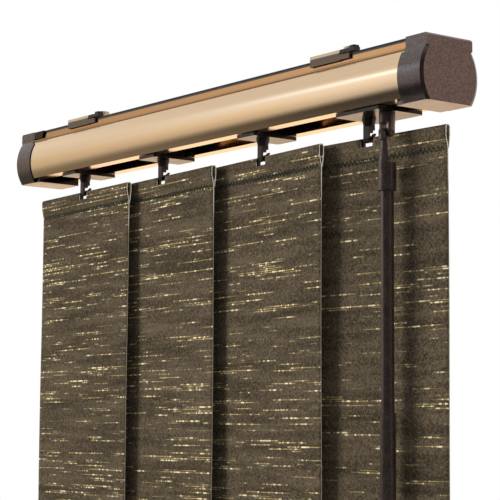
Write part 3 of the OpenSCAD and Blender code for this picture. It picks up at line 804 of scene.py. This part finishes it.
@dataclass(frozen=True)
class ReflectionCard:
    """A card that only reflections see, over a patch of the view from the rail.

    Attributes:
        name: The card's name.
        azimuth: From and to, in degrees to the left of straight ahead.
        shades: Its brightness at each height in degrees above the rail; the surround is 1.
        colour: What tints it.
        low_colour: What tints it near and under the horizon, where that differs.
        end_shades: Its brightness at the same heights at the second azimuth, where that differs.
        distance: How far off it stands.
        columns: How many columns of faces it has.
        low_under: The height in degrees under which low_colour tints it.
    """

    name: str
    azimuth: Span
    shades: Shades
    colour: Colour
    low_colour: Colour | None = None
    end_shades: Shades | None = None
    distance: float = 1.3
    columns: int = 24
    low_under: float = 8.0

    def build(self) -> None:
        """Makes the card."""
        mesh = bmesh.new()
        self.shape(mesh)
        card = mesh_object(self.name, mesh, self.glow())
        for ray in ("camera", "diffuse", "shadow", "transmission"):
            setattr(card, f"visible_{ray}", False)

    def shape(self, mesh: bmesh.types.BMesh) -> None:
        """Bends a grid round the rail and shades its points.

        Args:
            mesh: The bmesh that the grid goes into.
        """
        layer = mesh.verts.layers.float_color.new(CARD_SHADE)
        rows = len(self.shades) - 1
        ends = self.end_shades or self.shades
        bmesh.ops.create_grid(mesh, x_segments=self.columns, y_segments=rows, size=0.5)
        for vert in mesh.verts:
            row = round((vert.co.y + 0.5) * rows)
            share = vert.co.x + 0.5
            rise, start_shade = self.shades[row]
            shade = start_shade + (ends[row][1] - start_shade) * share
            turn = math.radians(self.azimuth[0] + (self.azimuth[1] - self.azimuth[0]) * share)
            lift = math.radians(rise)
            level = self.distance * math.cos(lift)
            vert.co = (-level * math.sin(turn), -level * math.cos(turn), self.distance * math.sin(lift))
            tint = self.low_colour if self.low_colour and rise < self.low_under else self.colour
            vert[layer] = opaque(tuple(shade * part for part in tint))

    def glow(self) -> bpy.types.Material:
        """Makes the card's light from its points' shades.

        Returns:
            The material.
        """
        material = bpy.data.materials.new(self.name)
        material.use_nodes = True
        nodes = material.node_tree.nodes
        nodes.remove(nodes["Principled BSDF"])
        kit = NodeKit(material.node_tree)
        shade = kit.add("ShaderNodeAttribute", attribute_name=CARD_SHADE)
        light = kit.add("ShaderNodeEmission")
        kit.feed(light.inputs["Color"], shade.outputs["Color"])
        kit.feed(nodes["Material Output"].inputs["Surface"], light.outputs[0])
        return material


LAMPS = (
    SoftBox("key", place=(-8.9, -7.4, 2.0), size=5.0, watts=1800.0, colour=(1.0, 0.97, 0.93)),
    SoftBox("side", place=(4.0, -0.72, 0.4), size=1.0, watts=88.0),
)

# Brightness of the cards by height: a dark floor, a bright room over it, and a window's band
FRONT_SHADES: Shades = (
    (-50.0, 0.16), (-24.0, 0.06), (-14.0, 0.06), (-10.0, 0.35), (-4.5, 0.86), (5.0, 1.1), (14.0, 1.28),
    (19.0, 1.3), (22.0, 1.25), (24.0, 1.15), (27.0, 1.0), (34.0, 0.93), (60.0, 0.9))
LEFT_SHADES: Shades = (
    (-50.0, 0.4), (-24.0, 0.3), (-14.0, 0.27), (-10.0, 0.4), (-4.5, 0.72), (5.0, 0.9), (14.0, 0.98),
    (19.0, 1.02), (22.0, 1.04), (24.0, 1.02), (27.0, 0.98), (34.0, 0.92), (60.0, 0.88))
WINDOW_SHADES: Shades = ((17.5, 1.3), (20.5, 2.7), (24.0, 2.7), (26.0, 1.1))
WINDOW_END_SHADES: Shades = ((17.5, 1.1), (20.5, 1.15), (24.0, 1.15), (26.0, 1.0))
ROOM_SHADES: Shades = ((-50.0, 0.2), (-20.0, 0.08), (24.0, 0.08), (34.0, 0.7), (60.0, 0.9))
WARM_SHADES: Shades = ((-25.0, 0.9), (40.0, 1.1))
BACK_SHADES: Shades = ((-30.0, 1.0), (0.0, 1.0))

CARDS = (
    ReflectionCard("left_card", (62.0, 100.0), LEFT_SHADES, (1.0, 0.97, 0.93), low_colour=(1.0, 0.87, 0.68)),
    ReflectionCard("middle_card", (46.0, 62.0), FRONT_SHADES, (1.0, 0.98, 0.95), low_colour=(1.0, 0.9, 0.75),
                   end_shades=LEFT_SHADES),
    ReflectionCard("front_card", (25.0, 46.0), FRONT_SHADES, (1.0, 0.98, 0.95)),
    ReflectionCard("window_card", (34.0, 58.0), WINDOW_SHADES, (0.92, 1.0, 1.14),
                   end_shades=WINDOW_END_SHADES, distance=1.2),
    ReflectionCard("room_card", (-100.0, 25.0), ROOM_SHADES, (1.0, 0.95, 0.92)),
    ReflectionCard("warm_card", (-165.0, -100.0), WARM_SHADES, (1.2, 0.92, 0.75)),
    ReflectionCard("back_card", (100.0, 165.0), BACK_SHADES, (1.42, 1.06, 0.72)),
)


@dataclass
class Studio:
    """Camera, lamps, reflecting cards, floor and background.

    The camera's angles are in degrees: yaw to the left, pitch upwards, and roll is its lean.
    """

    camera_at: Place = (0.917831, -0.67343, -0.228737)
    yaw: float = 52.56
    pitch: float = 5.947
    roll: float = 0.32
    focal_pixels: float = 1759.34
    near_limit: float = 10 * MM
    floor_z: float = -0.62
    floor_reach: float = 3.0
    floor_colour: Colour = (0.86, 0.85, 0.84)
    floor_roughness: float = 0.7
    world_light: float = 0.08

    def build(self) -> None:
        """Builds the studio."""
        bpy.context.scene.view_settings.view_transform = "Standard"
        self.build_camera()
        self.build_world()
        self.build_floor()
        for light in (*LAMPS, *CARDS):
            light.build()

    def build_camera(self) -> None:
        """Makes the camera, looking a little up at the rail from its right end."""
        yaw, pitch, roll = (math.radians(angle) for angle in (self.yaw, self.pitch, self.roll))
        heading = Vector((-math.sin(yaw), math.cos(yaw), 0.0))
        forward = math.cos(pitch) * heading + Vector((0.0, 0.0, math.sin(pitch)))
        level = Vector((math.cos(yaw), math.sin(yaw), 0.0))
        upright = level.cross(forward)
        right = math.cos(roll) * level + math.sin(roll) * upright
        up = math.cos(roll) * upright - math.sin(roll) * level
        data = bpy.data.cameras.new("photo_camera")
        data.sensor_width = SENSOR_MM
        data.lens = self.focal_pixels / IMAGE_PIXELS * SENSOR_MM
        data.clip_start = self.near_limit
        camera = bpy.data.objects.new("photo_camera", data)
        turned = Matrix((right, up, -forward)).transposed().to_4x4()
        camera.matrix_world = Matrix.Translation(self.camera_at) @ turned
        bpy.context.scene.collection.objects.link(camera)
        bpy.context.scene.camera = camera

    def build_world(self) -> None:
        """Makes a soft white surround that the camera and reflections see as plain white."""
        world = bpy.data.worlds.new("white_surround")
        world.use_nodes = True
        bpy.context.scene.world = world
        kit = NodeKit(world.node_tree)
        soft = world.node_tree.nodes["Background"]
        soft.inputs["Color"].default_value = opaque(WHITE)
        soft.inputs["Strength"].default_value = self.world_light
        white = kit.add("ShaderNodeBackground")
        white.inputs["Color"].default_value = opaque(WHITE)
        path = kit.add("ShaderNodeLightPath")
        seen = kit.math("MAXIMUM", path.outputs["Is Camera Ray"], path.outputs["Is Glossy Ray"])
        seen = kit.math("MAXIMUM", seen, path.outputs["Is Transmission Ray"])
        both = kit.add("ShaderNodeMixShader")
        kit.feed(both.inputs[0], seen)
        kit.feed(both.inputs[1], soft.outputs[0])
        kit.feed(both.inputs[2], white.outputs[0])
        kit.feed(world.node_tree.nodes["World Output"].inputs["Surface"], both.outputs[0])

    def build_floor(self) -> None:
        """Makes a plain pale floor under the vanes."""
        mesh = bmesh.new()
        bmesh.ops.create_grid(mesh, x_segments=1, y_segments=1, size=self.floor_reach)
        bmesh.ops.translate(mesh, verts=mesh.verts, vec=(0.0, 0.0, self.floor_z))
        material = bpy.data.materials.new("pale_floor")
        material.use_nodes = True
        shader = material.node_tree.nodes["Principled BSDF"]
        shader.inputs["Base Color"].default_value = opaque(self.floor_colour)
        shader.inputs["Roughness"].default_value = self.floor_roughness
        mesh_object("floor", mesh, material)


@dataclass
class Headrail:
    """The extrusion, its caps, the tilt rod and the ceiling clips."""

    clip_sides: tuple[str, ...] = ("left", "right")

    def build(self) -> None:
        """Dresses the rail's nodes."""
        dress("headrail", RAIL_FINISH)
        dress("tilt_rod", ROD_FINISH)
        dress("end_cap_left", TONGUE_FINISH)
        dress("end_cap_right", CAP_FINISH)
        for side in self.clip_sides:
            dress(f"mounting_clip_{side}", CLIP_FINISH)
            dress(f"clip_lever_{side}", DRIVE_FINISH)


@dataclass
class Carriages:
    """The carriers with their worms and links; the lead carrier pulls its followers."""

    followers: int = 3

    def build(self) -> None:
        """Dresses the carriers' nodes."""
        for number in range(1, self.followers + 1):
            dress(f"carrier_{number}", DRIVE_FINISH)
            dress(f"worm_{number}", DRIVE_FINISH)
            dress(f"spacer_link_{number}", STEEL_FINISH)
        dress("lead_carrier", DRIVE_FINISH)
        dress("lead_worm", DRIVE_FINISH)


@dataclass
class Wand:
    """The tilt wand, from its gear to its grip."""

    plastic: tuple[str, ...] = ("wand_stub", "wand_socket", "wand_rod", "wand_grip")

    def build(self) -> None:
        """Dresses the wand's nodes."""
        for node in self.plastic:
            dress(node, WAND_FINISH)
        dress("joint_cross", DRIVE_FINISH)


class ClothPath:
    """A chain of edges in the YZ plane that follows a sheet from one end to the other."""

    def __init__(self, mesh: bmesh.types.BMesh, y: float, z: float) -> None:
        """Starts the chain at a point.

        Args:
            mesh: The bmesh that it goes into.
            y: The point's Y.
            z: The point's Z.
        """
        self.mesh = mesh
        self.length_layer = mesh.verts.layers.float.new("length")
        self.end = mesh.verts.new((0.0, y, z))
        self.travelled = 0.0
        self.edges: list[bmesh.types.BMEdge] = []

    def line_to(self, y: float, z: float, steps: int = 1) -> None:
        """Runs the chain straight to a point.

        Args:
            y: The point's Y.
            z: The point's Z.
            steps: How many equal edges it makes on the way.
        """
        start = self.end.co.copy()
        for step in range(1, steps + 1):
            target = start.lerp(Vector((0.0, y, z)), step / steps)
            grown = bmesh.ops.extrude_vert_indiv(self.mesh, verts=[self.end])
            vert = grown["verts"][0]
            vert.co = target
            self.travelled += (target - self.end.co).length
            vert[self.length_layer] = self.travelled
            self.edges.append(grown["edges"][0])
            self.end = vert

    def turn(self, y: float, z: float, angle: float, steps: int) -> None:
        """Runs the chain round a centre.

        Args:
            y: The centre's Y.
            z: The centre's Z.
            angle: The turn in radians, counted from +Y to +Z.
            steps: How many equal edges it makes on the way.
        """
        arm = self.end.co - Vector((0.0, y, z))
        for _ in range(steps):
            arm = Matrix.Rotation(angle / steps, 3, "X") @ arm
            self.line_to(y + arm.y, z + arm.z)


@dataclass
class Vane:
    """One fabric vane with its pocket, hem, seams, stem, hanger and weight.

    Heights run from the folds to the seams, and rows and columns count faces. The hanging cloth bows a
    little down its length and across its width: a wave is a bow's radians in a metre, and a shift its
    radians from one vane to the next.
    """

    number: int
    turn_degrees: float
    plain: float
    width: float = 127 * MM
    cloth_t: float = 0.6 * MM
    pocket_t: float = 3.6 * MM
    pocket_h: float = 13.5 * MM
    hem_h: float = 32.0 * MM
    taper: float = 7.0 * MM
    notch_w: float = 10.5 * MM
    notch_depth: float = 5.52 * MM
    side_columns: int = 18
    notch_columns: int = 4
    drop_rows: int = 40
    taper_rows: int = 3
    pocket_rows: int = 2
    notch_rows: int = 4
    hem_rows: int = 4
    fold_rows: int = 8
    seed_step: float = 3.7
    down_bow: float = 0.42 * MM
    down_wave: float = 17.0
    down_shift: float = 2.3
    across_bow: float = 0.14 * MM
    across_wave: float = 31.0
    across_shift: float = 1.7
    bow_run_in: float = 120 * MM
    stitch_pitch: float = 3.4 * MM
    stitch_reach: float = 1.4 * MM
    thread_r: float = 0.2 * MM
    thread_sides: int = 5

    def build(self) -> None:
        """Builds the vane and dresses what it hangs from."""
        low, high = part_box(f"vane_{self.number}")
        self.body = f"hung_vane_{self.number}"
        self.top = high.z
        self.bottom = low.z
        self.half_t = self.cloth_t / 2
        self.wall_y = self.pocket_t / 2 - self.half_t
        self.seam_z = self.top - self.pocket_h
        self.hem_z = self.bottom + self.hem_h
        self.placed = self.hung_matrix()
        cloth = self.build_cloth()
        seams = self.build_seams()
        dress(f"stem_{self.number}", DRIVE_FINISH)
        dress(f"hanger_{self.number}", DRIVE_FINISH)
        dress(f"vane_weight_{self.number}", STEEL_FINISH)

    def hung_matrix(self) -> Matrix:
        """Works out how the vane stands on its stem.

        Returns:
            The matrix from the vane drawn about the origin to the vane in the frame.
        """
        name = f"vane_{self.number}_tilt"
        stem = Vector(next(joint["pos_m"] for joint in frame["joints"] if joint["name"] == name))
        turned = Matrix.Rotation(math.radians(self.turn_degrees), 4, "Z")
        return Matrix.Translation((stem.x, stem.y, 0.0)) @ turned

    def cloth_path(self, mesh: bmesh.types.BMesh) -> ClothPath:
        """Draws the sheet's middle from the pocket's seam round both folds to the hem's seam.

        Args:
            mesh: The bmesh that it goes into.

        Returns:
            The finished path.
        """
        fold_z = self.top - self.pocket_t / 2
        under_z = self.bottom + self.pocket_t / 2
        notch_z = self.top - self.notch_depth
        path = ClothPath(mesh, self.cloth_t, self.seam_z - self.half_t)
        path.line_to(self.wall_y, self.seam_z + self.taper, self.taper_rows)
        path.line_to(self.wall_y, notch_z, self.pocket_rows)
        path.line_to(self.wall_y, fold_z, self.notch_rows)
        path.turn(0.0, fold_z, math.pi, self.fold_rows)
        path.line_to(-self.wall_y, notch_z, self.notch_rows)
        path.line_to(-self.wall_y, self.seam_z + self.taper, self.pocket_rows)
        path.line_to(0.0, self.seam_z, self.taper_rows)
        path.line_to(0.0, self.hem_z, self.drop_rows)
        path.line_to(-self.wall_y, self.hem_z - self.taper, self.taper_rows)
        path.line_to(-self.wall_y, under_z, self.hem_rows)
        path.turn(0.0, under_z, math.pi, self.fold_rows)
        path.line_to(self.wall_y, self.hem_z - self.taper, self.hem_rows)
        path.line_to(self.cloth_t, self.hem_z + self.half_t, self.taper_rows)
        return path

    def build_cloth(self) -> bpy.types.Object:
        """Sweeps the sheet across the vane's width, hangs it and gives it its thickness.

        Returns:
            The cloth's object.
        """
        mesh = bmesh.new()
        path = self.cloth_path(mesh)
        self.cut_length = path.travelled
        self.sweep(mesh, path.edges)
        notch = [face for face in mesh.faces if self.in_notch(face.calc_center_median())]
        bmesh.ops.delete(mesh, geom=notch, context="FACES")
        uv = mesh.loops.layers.uv.new(CLOTH_UV)
        for face in mesh.faces:
            face.smooth = True
            for loop in face.loops:
                loop[uv].uv = (loop.vert.co.x + self.width / 2, loop.vert[path.length_layer])
        self.hang(mesh)
        bmesh.ops.recalc_face_normals(mesh, faces=mesh.faces)
        cloth = replace(CLOTH_FINISH, name=f"{CLOTH_FINISH.name}_{self.number}",
                        seed=self.number * self.seed_step, plain=self.plain)
        obj = mesh_object(f"vane_cloth_{self.number}", mesh, cloth.material(), EDGE_FINISH.material())
        wall = obj.modifiers.new("thickness", "SOLIDIFY")
        wall.thickness = self.cloth_t
        wall.offset = 0.0
        wall.material_offset_rim = 1
        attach(obj, self.body)
        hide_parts(f"vane_{self.number}")
        return obj

    def sweep(self, mesh: bmesh.types.BMesh, edges: list[bmesh.types.BMEdge]) -> None:
        """Extrudes the sheet's path across the vane's width, with column lines at the notch's sides.

        Args:
            mesh: The bmesh that holds the path.
            edges: The path's edges.
        """
        side = (self.width - self.notch_w) / 2 / self.side_columns
        middle = self.notch_w / self.notch_columns
        steps = [side] * self.side_columns + [middle] * self.notch_columns + [side] * self.side_columns
        bmesh.ops.translate(mesh, verts=mesh.verts, vec=(-self.width / 2, 0.0, 0.0))
        for step in steps:
            grown = bmesh.ops.extrude_edge_only(mesh, edges=edges)["geom"]
            edges = [item for item in grown if isinstance(item, bmesh.types.BMEdge)]
            verts = [item for item in grown if isinstance(item, bmesh.types.BMVert)]
            bmesh.ops.translate(mesh, verts=verts, vec=(step, 0.0, 0.0))

    def in_notch(self, point: Vector) -> bool:
        """Tells whether a point of the vane about the origin lies in the hook's notch."""
        return abs(point.x) < self.notch_w / 2 and point.z > self.top - self.notch_depth

    def hang(self, mesh: bmesh.types.BMesh) -> None:
        """Bows a mesh drawn about the origin as the cloth hangs, and puts it on its stem.

        Args:
            mesh: The cloth or its seams.
        """
        for vert in mesh.verts:
            run_in = min(1.0, max(0.0, (self.seam_z - vert.co.z) / self.bow_run_in))
            down = math.sin(vert.co.z * self.down_wave + self.number * self.down_shift)
            across = math.sin(vert.co.x * self.across_wave + self.number * self.across_shift)
            vert.co.y += run_in * (self.down_bow * down + self.across_bow * across)
        bmesh.ops.transform(mesh, matrix=self.placed, verts=mesh.verts)

    def build_seams(self) -> bpy.types.Object:
        """Sews a zigzag of thread along both faces of the pocket's and the hem's seam.

        Returns:
            The threads' object.
        """
        mesh = bmesh.new()
        for face in (-1.0, 1.0):
            self.sew(mesh, face, self.seam_z, self.stitch_reach)
            self.sew(mesh, face, self.hem_z, -self.stitch_reach)
        self.hang(mesh)
        obj = mesh_object(f"vane_seams_{self.number}", mesh, THREAD_FINISH.material())
        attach(obj, self.body)
        return obj

    def sew(self, mesh: bmesh.types.BMesh, face: float, seam: float, reach: float) -> None:
        """Sews one zigzag across the vane.

        Args:
            mesh: The bmesh that the thread goes into.
            face: The cloth's face: -1 towards the room, 1 towards the window.
            seam: The seam's height.
            reach: How far the peaks lie from the seam, up the taper.
        """
        count = int(self.width / self.stitch_pitch) - 1
        first = -count * self.stitch_pitch / 2
        flat_y = face * (self.half_t + self.thread_r)
        slope_y = flat_y + face * self.wall_y * self.stitch_reach / self.taper
        for stitch in range(count):
            x = first + stitch * self.stitch_pitch
            low = Vector((x, flat_y, seam - reach))
            peak = Vector((x + self.stitch_pitch / 2, slope_y, seam + reach))
            after = Vector((x + self.stitch_pitch, flat_y, seam - reach))
            self.add_leg(mesh, low, peak)
            self.add_leg(mesh, peak, after)

    def add_leg(self, mesh: bmesh.types.BMesh, start: Vector, end: Vector) -> None:
        """Adds one leg of a stitch.

        Args:
            mesh: The bmesh that it goes into.
            start: Where it starts.
            end: Where it ends.
        """
        along = end - start
        turned = along.to_track_quat("Z", "Y").to_matrix().to_4x4()
        bmesh.ops.create_cone(
            mesh, cap_ends=True, segments=self.thread_sides, radius1=self.thread_r, radius2=self.thread_r,
            depth=along.length, matrix=Matrix.Translation((start + end) / 2) @ turned)


# Each vane's turn about its stem in degrees, and how much less gold than usual its cloth shows
VANE_HANGS: tuple[Span, ...] = ((-3.5, 0.0), (-3.5, 0.018), (-4.4, 0.008), (2.4, 0.04))


def main() -> None:
    """Builds the studio and dresses the blind, piece by piece."""
    logging.basicConfig(level=logging.INFO, format="%(message)s")
    Studio().build()
    Headrail().build()
    Carriages().build()
    for number, (turn_degrees, plain) in enumerate(VANE_HANGS, start=1):
        Vane(number, turn_degrees, plain).build()
    Wand().build()


if __name__ == "__main__":
    main()
